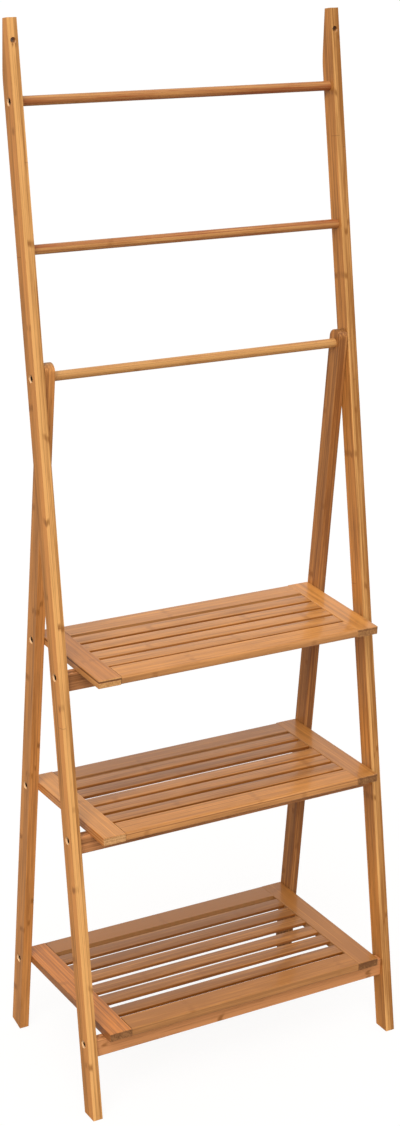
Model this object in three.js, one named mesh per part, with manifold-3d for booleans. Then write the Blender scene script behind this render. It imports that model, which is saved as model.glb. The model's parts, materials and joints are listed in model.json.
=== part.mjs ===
// A folding towel rack of laminated bamboo: two long uprights that lean back to the wall, two short rear legs
// hinged to them, three round towel bars, and three slatted shelves that hinge on the rear legs and rest on
// stretchers between the uprights. Millimetres, +Z up, front towards -Y, the viewer's left is -X.
import * as THREE from 'three';
import { mergeVertices } from 'three/addons/utils/BufferGeometryUtils.js';
import Module from 'manifold-3d';

const wasm = await Module();
wasm.setup();

// Overall shape
const rackHeight = 1500;
const rackWidth = 518;
const uprightLean = THREE.MathUtils.degToRad(10.65);
const pivotHeight = 1033;

// Stock of the uprights and rear legs
const stockWidth = 14.6;
const stockDepth = 26;
const topDepth = 12.5;
const taperBlendRadius = 140;
const legTopRise = 20;

// Towel bars; the middle one's share is of the way down from the top bar to the pivot
const barDiameter = 13.5;
const topBarDrop = 108;
const middleBarShare = 0.5334;
const barSocketDepth = 7;

// Stretchers that the shelves rest on
const stretcherHeight = 27;
const stretcherThickness = 14;
const stretcherScrewDrop = 6;

// Shelves, from the top one down
const railWidth = 35;
const railThickness = 12;
const slatWidth = 23;
const slatThickness = 4.8;
const slatRecess = 1;
const tongueThickness = 3;
const tongueLength = 6;
const railNoseRadius = 3.2;
const bottomNoseRadius = 1.6;
const topShelfOverhang = 63.5;
const middleShelfOverhang = 41;
const bottomShelfOverhang = 14;

// A hinge's share is of the pivot's height, and the gap shares are of the room that the slats leave, from the rear.
const shelfPlans = [
  {
    name: 'shelf_1',
    hingeShare: 0.6244,
    frontOverhang: topShelfOverhang,
    frontDropDegrees: 2,
    noseRadius: railNoseRadius,
    gapShares: [0.2, 0.2, 0.2, 0.2, 0.2],
  },
  {
    name: 'shelf_2',
    hingeShare: 0.3993,
    frontOverhang: middleShelfOverhang,
    frontDropDegrees: 0,
    noseRadius: railNoseRadius,
    gapShares: [0.154, 0.172, 0.224, 0.134, 0.159, 0.157],
  },
  {
    name: 'shelf_3',
    hingeShare: 0.1152,
    frontOverhang: bottomShelfOverhang,
    frontDropDegrees: 0,
    noseRadius: bottomNoseRadius,
    gapShares: [0.14, 0.122, 0.125, 0.176, 0.134, 0.182, 0.121],
  },
];

// Screws
const screwHeadDiameter = 9;
const screwHeadHeight = 2.4;
const screwShankDiameter = 4;
const screwGrip = 26;
const screwTipLength = 3;
const screwKeyWidth = 4;
const screwKeyDepth = 1.4;
const counterboreDiameter = 11.5;
const counterboreDepth = 4.6;

// Holes near the tops for screws into the wall
const wallHoleDiameter = 7;
const wallHoleSinkDiameter = 8.6;
const wallHoleSinkDepth = 0.8;
const wallHoleDrop = 28.5;

// Fits
const jointGap = 0.3;
const legGap = 0.85;
const shelfSideGap = 0.5;
const overrun = 2;

// Facets around round pieces
const barFacets = 32;
const boreFacets = 20;
const screwFacets = 16;
const cornerFacets = 4;
const blendFacets = 4;
const hexFacets = 6;

// What follows from the sizes above
const uprightOuter = rackWidth / 2;
const uprightInner = uprightOuter - stockWidth;
const legOuter = uprightInner - legGap;
const legInner = legOuter - stockWidth;
const shelfHalfWidth = legInner - shelfSideGap;
const barRadius = barDiameter / 2;
const leanRun = Math.tan(uprightLean);
const faceRun = stockDepth / Math.cos(uprightLean);
const centreLineY = (height) => height * leanRun + faceRun / 2;
const pivotY = centreLineY(pivotHeight);
const wallY = rackHeight * leanRun + topDepth * Math.cos(uprightLean);

// The rear legs lean so that their feet stand flush with the back of the uprights' tops.
const rearFootReach = wallY - stockDepth - pivotY;
const rearLegLean =
  Math.atan2(rearFootReach, pivotHeight) +
  Math.asin(stockDepth / 2 / Math.hypot(rearFootReach, pivotHeight));
const rearLegLength = (pivotHeight - (stockDepth / 2) * Math.sin(rearLegLean)) / Math.cos(rearLegLean);

const sides = [
  { name: 'left', sign: -1 },
  { name: 'right', sign: 1 },
];

// Bamboo and steel
const bamboo = (color, roughness = 0.42) => new THREE.MeshStandardMaterial({ color, roughness, metalness: 0 });
const honeyBamboo = () => bamboo('#cf9450');
const deepBamboo = () => bamboo('#b5783f');
const railBamboo = () => bamboo('#d09a64');
const slatBamboo = () => bamboo('#c8905f', 0.46);
const darkSteel = () => new THREE.MeshStandardMaterial({ color: '#3a3029', roughness: 0.4, metalness: 0.9 });

// Solids: joining and cutting
function solidOf(geometry) {
  const bare = geometry.clone();
  bare.deleteAttribute('normal');
  bare.deleteAttribute('uv');
  const merged = mergeVertices(bare);
  const vertProperties = new Float32Array(merged.attributes.position.array);
  const triVerts = new Uint32Array(merged.index.array);
  return new wasm.Manifold(new wasm.Mesh({ numProp: 3, vertProperties, triVerts }));
}

function geometryOf(solid) {
  const { vertProperties, triVerts } = solid.getMesh();
  const geometry = new THREE.BufferGeometry();
  geometry.setAttribute('position', new THREE.BufferAttribute(vertProperties, 3));
  geometry.setIndex(new THREE.BufferAttribute(triVerts, 1));
  geometry.computeVertexNormals();
  return geometry;
}

function carve(body, { add = [], cut = [] }) {
  let solid = solidOf(body);
  for (const geometry of add) {
    solid = solid.add(solidOf(geometry));
  }
  for (const geometry of cut) {
    solid = solid.subtract(solidOf(geometry));
  }
  return geometryOf(solid);
}

// Plain forms
function boxBetween(from, to) {
  const size = new THREE.Vector3().subVectors(to, from);
  const centre = new THREE.Vector3().addVectors(from, to).multiplyScalar(0.5);
  const box = new THREE.BoxGeometry(Math.abs(size.x), Math.abs(size.y), Math.abs(size.z));
  return box.translate(centre.x, centre.y, centre.z);
}

function rodAlongX(radius, fromX, toX, y, z, facets) {
  const rod = new THREE.CylinderGeometry(radius, radius, Math.abs(toX - fromX), facets);
  rod.rotateZ(Math.PI / 2);
  return rod.translate((fromX + toX) / 2, y, z);
}

// A shape drawn in the side view (Y to the right, Z up), given its width along X
function sideProfile(shape, fromX, toX, curveSegments) {
  const body = new THREE.ExtrudeGeometry(shape, {
    depth: Math.abs(toX - fromX),
    bevelEnabled: false,
    curveSegments,
  });
  const yAxis = new THREE.Vector3(0, 1, 0);
  const zAxis = new THREE.Vector3(0, 0, 1);
  const xAxis = new THREE.Vector3(1, 0, 0);
  body.applyMatrix4(new THREE.Matrix4().makeBasis(yAxis, zAxis, xAxis));
  return body.translate(Math.min(fromX, toX), 0, 0);
}

function named(name, geometry, material) {
  const mesh = new THREE.Mesh(geometry, material);
  mesh.name = name;
  return mesh;
}

// A screw that lies along X, with the underside of its head at seatX, pointing to the rack's middle
function screw(name, sign, seatX, shankLength, y, z) {
  const shankRadius = screwShankDiameter / 2;
  const headRadius = screwHeadDiameter / 2;
  const outline = [
    [0, -shankLength],
    [shankRadius / 2, -shankLength],
    [shankRadius, screwTipLength - shankLength],
    [shankRadius, 0],
    [headRadius, 0],
    [headRadius, screwHeadHeight / 2],
    [headRadius - screwHeadHeight / 4, screwHeadHeight],
    [0, screwHeadHeight],
  ].map(([radius, along]) => new THREE.Vector2(radius, along));
  const body = new THREE.LatheGeometry(outline, screwFacets);
  const keyRadius = screwKeyWidth / Math.sqrt(3);
  const key = new THREE.CylinderGeometry(keyRadius, keyRadius, screwKeyDepth + overrun, hexFacets);
  key.translate(0, screwHeadHeight + (overrun - screwKeyDepth) / 2, 0);
  const geometry = carve(body, { cut: [key] });
  geometry.rotateZ((-sign * Math.PI) / 2);
  const mesh = named(name, geometry, darkSteel());
  mesh.position.set(seatX, y, z);
  return mesh;
}

// The hole that such a screw passes, with its counterbore, from outerX through to innerX
function screwBore(sign, outerX, innerX, y, z) {
  const holeRadius = screwShankDiameter / 2 + jointGap;
  const floorX = outerX - sign * counterboreDepth;
  const outsideX = outerX + sign * overrun;
  return [
    rodAlongX(counterboreDiameter / 2, outsideX, floorX, y, z, boreFacets),
    rodAlongX(holeRadius, outsideX, innerX - sign * overrun, y, z, boreFacets),
  ];
}

// The pilot hole in the end of a bar, stretcher or rail
function pilotHole(sign, endX, y, z) {
  const holeRadius = screwShankDiameter / 2 + jointGap;
  return rodAlongX(holeRadius, endX + sign * overrun, endX - sign * (screwGrip + jointGap * 2), y, z, boreFacets);
}

const screwSeatX = (sign, outerX) => sign * (outerX - counterboreDepth + jointGap);
const screwLengthTo = (outerX, endX) => outerX - counterboreDepth + jointGap - endX + screwGrip;

// Heights that the uprights' holes and the pieces between them share
const topBarHeight = rackHeight - topBarDrop;
const middleBarHeight = THREE.MathUtils.lerp(topBarHeight, pivotHeight, middleBarShare);

// Each shelf's hinge on the rear legs, and the stretcher that its front rests on
const legLineY = (height) => pivotY + (pivotHeight - height) * Math.tan(rearLegLean);
const hingeInset = stockDepth / 2;

function planShelf(plan) {
  const frontDrop = THREE.MathUtils.degToRad(plan.frontDropDegrees);
  const hingeHeight = pivotHeight * plan.hingeShare;
  const hingeY = legLineY(hingeHeight);
  const dropRun = Math.tan(frontDrop);
  const undersideAtZeroY = hingeHeight - railThickness / 2 / Math.cos(frontDrop) - hingeY * dropRun;
  const frontFromCentre = stretcherThickness / 2;
  const frontYAtTopZero = centreLineY(-stretcherHeight / 2) - frontFromCentre;
  const stretcherTop =
    (undersideAtZeroY - jointGap + dropRun * frontYAtTopZero) / (1 - dropRun * leanRun);
  const stretcherY = centreLineY(stretcherTop - stretcherHeight / 2);
  const frontY = stretcherY - frontFromCentre - plan.frontOverhang;
  const depth = (hingeY - frontY) / Math.cos(frontDrop) + hingeInset;
  const screwHeight = stretcherTop - stretcherScrewDrop;
  return { ...plan, hingeHeight, frontDrop, stretcherTop, stretcherY, depth, screwHeight };
}

const shelves = shelfPlans.map(planShelf);

// Uprights
function uprightShape() {
  const backMeetsWallZ = (wallY - faceRun) / leanRun;
  const blendLength = taperBlendRadius * Math.tan(uprightLean / 2);
  const shape = new THREE.Shape();
  shape.moveTo(0, 0);
  shape.lineTo(faceRun, 0);
  shape.absarc(wallY - taperBlendRadius, backMeetsWallZ + blendLength, taperBlendRadius, -uprightLean, 0, false);
  shape.lineTo(wallY, rackHeight - (wallY - rackHeight * leanRun) * leanRun);
  shape.lineTo(rackHeight * leanRun, rackHeight);
  return shape;
}

// The hole runs level to the wall, and flares where the screw's head sits at the front.
function wallHole(sign) {
  const x = sign * (uprightOuter - stockWidth / 2);
  const z = rackHeight - wallHoleDrop;
  const startY = z * leanRun - overrun;
  const holeRadius = wallHoleDiameter / 2;
  const flare = (wallHoleSinkDiameter / 2 - holeRadius) / wallHoleSinkDepth;
  const sinkLength = overrun + wallHoleSinkDepth;
  const sinkRadius = holeRadius + flare * sinkLength;
  const length = wallY - startY + overrun;
  const hole = new THREE.CylinderGeometry(holeRadius, holeRadius, length, boreFacets);
  const sink = new THREE.CylinderGeometry(holeRadius, sinkRadius, sinkLength, boreFacets);
  return [hole.translate(x, startY + length / 2, z), sink.translate(x, startY + sinkLength / 2, z)];
}

function upright({ name, sign }) {
  const outerX = sign * uprightOuter;
  const innerX = sign * uprightInner;
  const body = sideProfile(uprightShape(), innerX, outerX, blendFacets);
  const socketFloorX = innerX + sign * barSocketDepth;
  const screwHeights = [topBarHeight, pivotHeight, ...shelves.map((shelf) => shelf.screwHeight)];
  const bores = screwHeights.flatMap((height) => screwBore(sign, outerX, innerX, centreLineY(height), height));
  const socket = rodAlongX(
    barRadius + jointGap,
    innerX - sign * overrun,
    socketFloorX,
    centreLineY(middleBarHeight),
    middleBarHeight,
    barFacets,
  );
  return named(`${name}_upright`, carve(body, { cut: [...bores, socket, ...wallHole(sign)] }), honeyBamboo());
}

// Towel bars
function towelBar(name, halfLength, y, z, screwed) {
  const body = rodAlongX(barRadius, -halfLength, halfLength, 0, 0, barFacets);
  const holes = screwed ? sides.map(({ sign }) => pilotHole(sign, sign * halfLength, 0, 0)) : [];
  const mesh = named(name, carve(body, { cut: holes }), honeyBamboo());
  mesh.position.set(0, y, z);
  return mesh;
}

// Stretchers
function stretcher(shelf, number) {
  const halfLength = uprightInner - jointGap;
  const halfThickness = stretcherThickness / 2;
  const body = boxBetween(
    new THREE.Vector3(-halfLength, -halfThickness, -stretcherHeight),
    new THREE.Vector3(halfLength, halfThickness, 0),
  );
  const screwY = centreLineY(shelf.screwHeight) - shelf.stretcherY;
  const holes = sides.map(({ sign }) => pilotHole(sign, sign * halfLength, screwY, -stretcherScrewDrop));
  const mesh = named(`stretcher_${number}`, carve(body, { cut: holes }), deepBamboo());
  mesh.position.set(0, shelf.stretcherY, shelf.stretcherTop);
  return mesh;
}

function makeFrontFrame() {
  const frame = new THREE.Group();
  sides.forEach((side) => frame.add(upright(side)));
  const topBarHalf = uprightInner - jointGap;
  const middleBarHalf = uprightInner + barSocketDepth - jointGap;
  frame.add(towelBar('top_bar', topBarHalf, centreLineY(topBarHeight), topBarHeight, true));
  frame.add(towelBar('middle_bar', middleBarHalf, centreLineY(middleBarHeight), middleBarHeight, false));
  shelves.forEach((shelf, index) => frame.add(stretcher(shelf, index + 1)));
  for (const { name, sign } of sides) {
    const seatX = screwSeatX(sign, uprightOuter);
    const toInner = screwLengthTo(uprightOuter, uprightInner - jointGap);
    frame.add(screw(`${name}_top_bar_screw`, sign, seatX, toInner, centreLineY(topBarHeight), topBarHeight));
    shelves.forEach((shelf, index) => {
      const z = shelf.screwHeight;
      frame.add(screw(`${name}_stretcher_${index + 1}_screw`, sign, seatX, toInner, centreLineY(z), z));
    });
  }
  return frame;
}

// Rear legs, drawn about the pivot and leaning with their group
function rearLegShape() {
  const half = stockDepth / 2;
  const footRise = stockDepth * leanRun;
  const shape = new THREE.Shape();
  shape.moveTo(-half, -rearLegLength);
  shape.lineTo(half, footRise - rearLegLength);
  shape.absarc(0, legTopRise - half, half, 0, Math.PI, false);
  return shape;
}

const hingeDrop = (shelf) => (pivotHeight - shelf.hingeHeight) / Math.cos(rearLegLean);

function rearLeg({ name, sign }) {
  const outerX = sign * legOuter;
  const innerX = sign * legInner;
  const body = sideProfile(rearLegShape(), innerX, outerX, boreFacets / 2);
  const holeRadius = screwShankDiameter / 2 + jointGap;
  const pivotHole = rodAlongX(holeRadius, outerX + sign * overrun, innerX - sign * overrun, 0, 0, boreFacets);
  const bores = shelves.flatMap((shelf) => screwBore(sign, outerX, innerX, 0, -hingeDrop(shelf)));
  return named(`${name}_rear_leg`, carve(body, { cut: [pivotHole, ...bores] }), deepBamboo());
}

// Shelf boards, drawn about the hinge line: Y runs back, the rails' mid-thickness is at Z = 0
const shelfFrontY = (shelf) => hingeInset - shelf.depth;
const tongueTop = railThickness / 2 - slatRecess - (slatThickness - tongueThickness) / 2;

// The slats' rear edges, from the rear one to the front one
function slatRearEdges(shelf) {
  const count = shelf.gapShares.length - 1;
  const free = shelf.depth - railWidth * 2 - slatWidth * count;
  const edges = [];
  let y = hingeInset - railWidth;
  for (let index = 0; index < count; index += 1) {
    y -= free * shelf.gapShares[index];
    edges.push(y);
    y -= slatWidth;
  }
  return edges;
}

// From and to along Y of the tongues of the rear rail, the slats and the front rail
function tongueSpans(shelf) {
  const inset = shelf.noseRadius + jointGap;
  return {
    rearRail: [hingeInset - railWidth, hingeInset - inset],
    frontRail: [shelfFrontY(shelf) + inset, shelfFrontY(shelf) + railWidth],
    slats: slatRearEdges(shelf).map((rearY) => [rearY - slatWidth, rearY]),
  };
}

function tongues(halfLength, [fromY, toY]) {
  return sides.map(({ sign }) =>
    boxBetween(
      new THREE.Vector3(sign * (halfLength - overrun), fromY, tongueTop - tongueThickness),
      new THREE.Vector3(sign * (halfLength + tongueLength), toY, tongueTop),
    ),
  );
}

// The mortise in an end rail for one such tongue
function mortise(sign, [fromY, toY]) {
  const innerX = sign * (shelfHalfWidth - railWidth);
  return boxBetween(
    new THREE.Vector3(innerX - sign * overrun, fromY - jointGap, tongueTop - tongueThickness - jointGap),
    new THREE.Vector3(innerX + sign * (tongueLength + jointGap), toY + jointGap, tongueTop + jointGap),
  );
}

function endRail(shelf, { name, sign }) {
  const outerX = sign * shelfHalfWidth;
  const innerX = sign * (shelfHalfWidth - railWidth);
  const half = railThickness / 2;
  const body = boxBetween(
    new THREE.Vector3(innerX, shelfFrontY(shelf), -half),
    new THREE.Vector3(outerX, hingeInset, half),
  );
  const { rearRail, frontRail, slats } = tongueSpans(shelf);
  const mortises = [rearRail, ...slats, frontRail].map((span) => mortise(sign, span));
  const hole = pilotHole(sign, outerX, 0, 0);
  return named(`${shelf.name}_${name}_end_rail`, carve(body, { cut: [...mortises, hole] }), railBamboo());
}

const betweenRails = shelfHalfWidth - railWidth - jointGap;

// A rail whose outer long edges are rounded; facing is -1 for the front rail and 1 for the rear one
function crossRail(shelf, name, facing, outerY, tongueSpan) {
  const half = railThickness / 2;
  const radius = shelf.noseRadius;
  const innerY = outerY - facing * railWidth;
  const shape = new THREE.Shape();
  shape.moveTo(innerY, -half);
  if (facing > 0) {
    shape.lineTo(outerY - radius, -half);
    shape.absarc(outerY - radius, radius - half, radius, -Math.PI / 2, 0, false);
    shape.absarc(outerY - radius, half - radius, radius, 0, Math.PI / 2, false);
    shape.lineTo(innerY, half);
  } else {
    shape.lineTo(innerY, half);
    shape.absarc(outerY + radius, half - radius, radius, Math.PI / 2, Math.PI, false);
    shape.absarc(outerY + radius, radius - half, radius, Math.PI, (Math.PI * 3) / 2, false);
  }
  const body = sideProfile(shape, -betweenRails, betweenRails, cornerFacets);
  const ends = tongues(betweenRails, tongueSpan);
  return named(`${shelf.name}_${name}`, carve(body, { add: ends }), railBamboo());
}

function slat(shelf, number, span) {
  const top = railThickness / 2 - slatRecess;
  const [fromY, toY] = span;
  const body = boxBetween(
    new THREE.Vector3(-betweenRails, fromY, top - slatThickness),
    new THREE.Vector3(betweenRails, toY, top),
  );
  const ends = tongues(betweenRails, span);
  return named(`${shelf.name}_slat_${number}`, carve(body, { add: ends }), slatBamboo());
}

function makeShelf(shelf) {
  const board = new THREE.Group();
  board.position.set(0, 0, -hingeDrop(shelf));
  board.rotation.x = shelf.frontDrop - rearLegLean;
  const { rearRail, frontRail, slats } = tongueSpans(shelf);
  sides.forEach((side) => board.add(endRail(shelf, side)));
  board.add(crossRail(shelf, 'rear_rail', 1, hingeInset, rearRail));
  board.add(crossRail(shelf, 'front_rail', -1, shelfFrontY(shelf), frontRail));
  slats.forEach((span, index) => board.add(slat(shelf, index + 1, span)));
  return board;
}

function makeRearFrame() {
  const frame = new THREE.Group();
  frame.position.set(0, pivotY, pivotHeight);
  frame.rotation.x = rearLegLean;
  sides.forEach((side) => frame.add(rearLeg(side)));
  const barHalf = legInner - jointGap;
  frame.add(towelBar('pivot_bar', barHalf, 0, 0, true));
  for (const { name, sign } of sides) {
    const pivotSeatX = screwSeatX(sign, uprightOuter);
    frame.add(screw(`${name}_pivot_screw`, sign, pivotSeatX, screwLengthTo(uprightOuter, barHalf), 0, 0));
    for (const shelf of shelves) {
      const seatX = screwSeatX(sign, legOuter);
      const length = screwLengthTo(legOuter, shelfHalfWidth);
      frame.add(screw(`${name}_${shelf.name}_screw`, sign, seatX, length, 0, -hingeDrop(shelf)));
    }
  }
  shelves.forEach((shelf) => frame.add(makeShelf(shelf)));
  return frame;
}

// The whole rack, its footprint centred on the origin
const rack = new THREE.Group();
rack.add(makeFrontFrame());
rack.add(makeRearFrame());
rack.updateMatrixWorld(true);
const bounds = new THREE.Box3().setFromObject(rack, true);
rack.position.y = -(bounds.min.y + bounds.max.y) / 2;
rack.updateMatrixWorld(true);

export default rack;
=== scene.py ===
# A folding towel rack of laminated bamboo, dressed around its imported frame. Metres, +Z up, front towards -Y.
import json
import math

import bmesh
import bpy
from mathutils import Matrix, Vector


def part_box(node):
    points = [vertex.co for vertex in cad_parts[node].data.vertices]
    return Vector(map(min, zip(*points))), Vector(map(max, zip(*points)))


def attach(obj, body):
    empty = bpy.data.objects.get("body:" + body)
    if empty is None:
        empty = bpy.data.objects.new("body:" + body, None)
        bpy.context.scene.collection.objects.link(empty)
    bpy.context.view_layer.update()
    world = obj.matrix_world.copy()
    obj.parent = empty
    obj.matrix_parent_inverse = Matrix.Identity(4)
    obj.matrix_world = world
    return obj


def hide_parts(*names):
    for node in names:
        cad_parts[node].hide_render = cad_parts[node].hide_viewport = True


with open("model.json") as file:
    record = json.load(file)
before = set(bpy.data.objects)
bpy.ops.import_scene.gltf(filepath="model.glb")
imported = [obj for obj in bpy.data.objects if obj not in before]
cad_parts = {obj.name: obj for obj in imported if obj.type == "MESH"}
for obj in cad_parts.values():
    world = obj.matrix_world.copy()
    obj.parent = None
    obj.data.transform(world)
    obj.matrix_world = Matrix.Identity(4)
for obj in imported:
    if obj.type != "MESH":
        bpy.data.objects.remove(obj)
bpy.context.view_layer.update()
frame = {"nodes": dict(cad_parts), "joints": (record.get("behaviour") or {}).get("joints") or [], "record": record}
nodes = frame["nodes"]
mm = 0.001
print("frame loaded:", len(nodes), "nodes")


# The camera stands where the photograph was taken from
cameraPlan = {
    "place": (-1.5309, -2.5149, 1.8043),
    "yawDegrees": -31.33,
    "pitchDegrees": -18.707,
    "rollDegrees": 1.803,
    "focalPixels": 2209.27,
    "axisPixel": (214.91, 524.61),
    "picturePixels": (400, 1126),
    "sensorMm": 36,
}


def makeCamera(plan):
    yaw, pitch, roll = (math.radians(plan[key]) for key in ("yawDegrees", "pitchDegrees", "rollDegrees"))
    forward = Vector((-math.sin(yaw) * math.cos(pitch), math.cos(yaw) * math.cos(pitch), math.sin(pitch)))
    level = Vector((math.cos(yaw), math.sin(yaw), 0))
    steep = level.cross(forward)
    right = level * math.cos(roll) + steep * math.sin(roll)
    up = steep * math.cos(roll) - level * math.sin(roll)
    width, height = plan["picturePixels"]  # lens and shift are measured against the height, the longer side
    data = bpy.data.cameras.new("camera")
    data.sensor_width = plan["sensorMm"]
    data.lens = plan["focalPixels"] / height * plan["sensorMm"]
    data.shift_x = (width / 2 - plan["axisPixel"][0]) / height
    data.shift_y = (plan["axisPixel"][1] - height / 2) / height
    camera = bpy.data.objects.new("camera", data)
    turn = Matrix((right, up, -forward)).transposed().to_4x4()
    camera.matrix_world = Matrix.Translation(plan["place"]) @ turn
    bpy.context.scene.collection.objects.link(camera)
    bpy.context.scene.camera = camera


makeCamera(cameraPlan)
print("camera placed")


# Directions and places that the frame gives
def boxCentre(node):
    low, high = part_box(node)
    return (low + high) / 2


def sideDirection(start, end):
    step = end - start
    return Vector((0, step.y, step.z)).normalized()


sideways = Vector((1, 0, 0))
hinges = {joint["child"]: Vector(joint["pos_m"]) for joint in frame["joints"]}
shelfNames = sorted(name for name in hinges if name.startswith("shelf"))
uprightRise = sideDirection(hinges["rear_frame"], boxCentre("top_bar"))
legRise = sideDirection(hinges[shelfNames[-1]], hinges["rear_frame"])


def slatNodes(shelf):
    return sorted(name for name in nodes if name.startswith(shelf + "_slat"))


def shelfRun(shelf):
    rows = slatNodes(shelf)
    return sideDirection(boxCentre(rows[0]), boxCentre(rows[-1]))  # from the rear to the front


# A board's fibres run along it, its strips lie side by side across it, and its plies are stacked through it
def stileAxes(rise):
    return {"along": rise, "across": sideways.cross(rise), "through": sideways}


def boardAxes(run, lengthwise):
    along, across = (run, sideways) if lengthwise else (sideways, run)
    return {"along": along, "across": across, "through": run.cross(sideways)}


# Linear light from an sRGB hex value, by the standard's own curve
def linearColour(hexCode):
    shares = [int(hexCode[start:start + 2], 16) / 255 for start in (1, 3, 5)]
    return [
        share / 12.92 if share <= 0.04045 else ((share + 0.055) / 1.055) ** 2.4
        for share in shares
    ] + [1]


def socketOf(sockets, key):
    if isinstance(key, int):
        return sockets[key]
    return next(socket for socket in sockets if key in (socket.identifier, socket.name))


# Adds a node with its settings; an input is a value, a socket, or a node whose first output is meant
def addNode(tree, kind, settings=None, inputs=None):
    node = tree.nodes.new(kind)
    for name, value in (settings or {}).items():
        setattr(node, name, value)
    for key, value in (inputs or {}).items():
        if isinstance(value, bpy.types.Node):
            value = value.outputs[0]
        if isinstance(value, bpy.types.NodeSocket):
            tree.links.new(value, socketOf(node.inputs, key))
        else:
            socketOf(node.inputs, key).default_value = value
    return node


def newMaterial(name):
    material = bpy.data.materials.new(name)
    material.use_nodes = True
    material.node_tree.nodes.clear()
    return material, material.node_tree


# Laminated bamboo under satin lacquer: long fibres, strips and plies of differing tone with thin glue lines
# between them, and brown node marks across. Wide faces are redder than the edges, and sawn ends are darker.
bambooBase = {
    "edgeLightHex": "#DDA462",
    "edgeDarkHex": "#96622F",
    "wideLightHex": "#CE8A47",
    "wideDarkHex": "#885627",
    "lineHex": "#6A3A1A",
    "nodeHex": "#85501F",
    "endLightHex": "#A67646",
    "endDarkHex": "#6E4522",
    "rawHex": "#EDBE8C",
    "stripWidth": 13 * mm,
    "strips": 2,
    "plyThickness": 4.87 * mm,
    "plies": 3,
    "lineWidth": 0.55 * mm,  # real glue lines are about 0.1 mm, too fine to show, so drawn coarser
    "lineCoreShare": 0.3,  # of its width, where a line is strongest
    "lineShare": 0.32,
    "nodeSpacing": 260 * mm,
    "nodeWidth": 7 * mm,
    "nodeCoreShare": 0.15,
    "nodeShare": 0.75,
    "nodeWobble": 20 * mm,
    "blotchShares": (0.4, 0.56),  # of the noise, where a node mark begins to show and where it is full
    "jointSpacing": 1400 * mm,  # where one strip ends and the next begins
    "jointWidth": 0.7 * mm,  # real joints are about 0.2 mm, too fine to show, so drawn coarser
    "jointShare": 0,  # joints show on the uprights alone
    "fibreSize": (170 * mm, 2.4 * mm),  # real fibres are about 0.3 mm, too fine to show, so drawn coarser
    "fleckSize": (22 * mm, 0.8 * mm),  # dark bundles in the wood, about 0.4 mm wide, drawn coarser too
    "mottleSize": (95 * mm, 9 * mm),
    "patternDetail": 3,
    "fleckShares": (0.56, 0.74),  # of the noise, where a fleck begins to show and where it is full
    "fleckDepthShare": 0.35,
    "stripToneShare": 0.6,
    "fibreShare": 2,
    "mottleShare": 1.1,
    "pieceShare": 0.6,
    "toneScatter": 97,  # turns a board's tone into the whole number that its random draws start from
    "layerScatter": 53,  # how far apart the layers' places in the noise lie
    "roughness": 0.4,
    "roughnessSwing": 0.16,
    "gloss": 0.25,  # a satin lacquer mirrors less than the shader's usual plastic
    "coat": 0.06,
    "coatRoughness": 0.22,
    "bumpDepth": 0.12 * mm,
    "bumpStrength": 0.35,
}

# The shelves have more lacquer, so that the legs are mirrored softly in them
railFinish = {
    "edgeLightHex": "#CC8F54",
    "edgeDarkHex": "#9F6C3D",
    "wideLightHex": "#CD8942",
    "wideDarkHex": "#9E652D",
    "stripToneShare": 0.25,
    "lineHex": "#5A2A12",
    "strips": 1,
    "stripWidth": 35 * mm,
    "plyThickness": 9.4 * mm,
    "plies": 2,
    "lineWidth": 0.9 * mm,
    "lineShare": 0.6,
    "nodeShare": 0.35,
    "pieceShare": 0.9,
    "coat": 0.35,
    "coatRoughness": 0.1,
}

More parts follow.
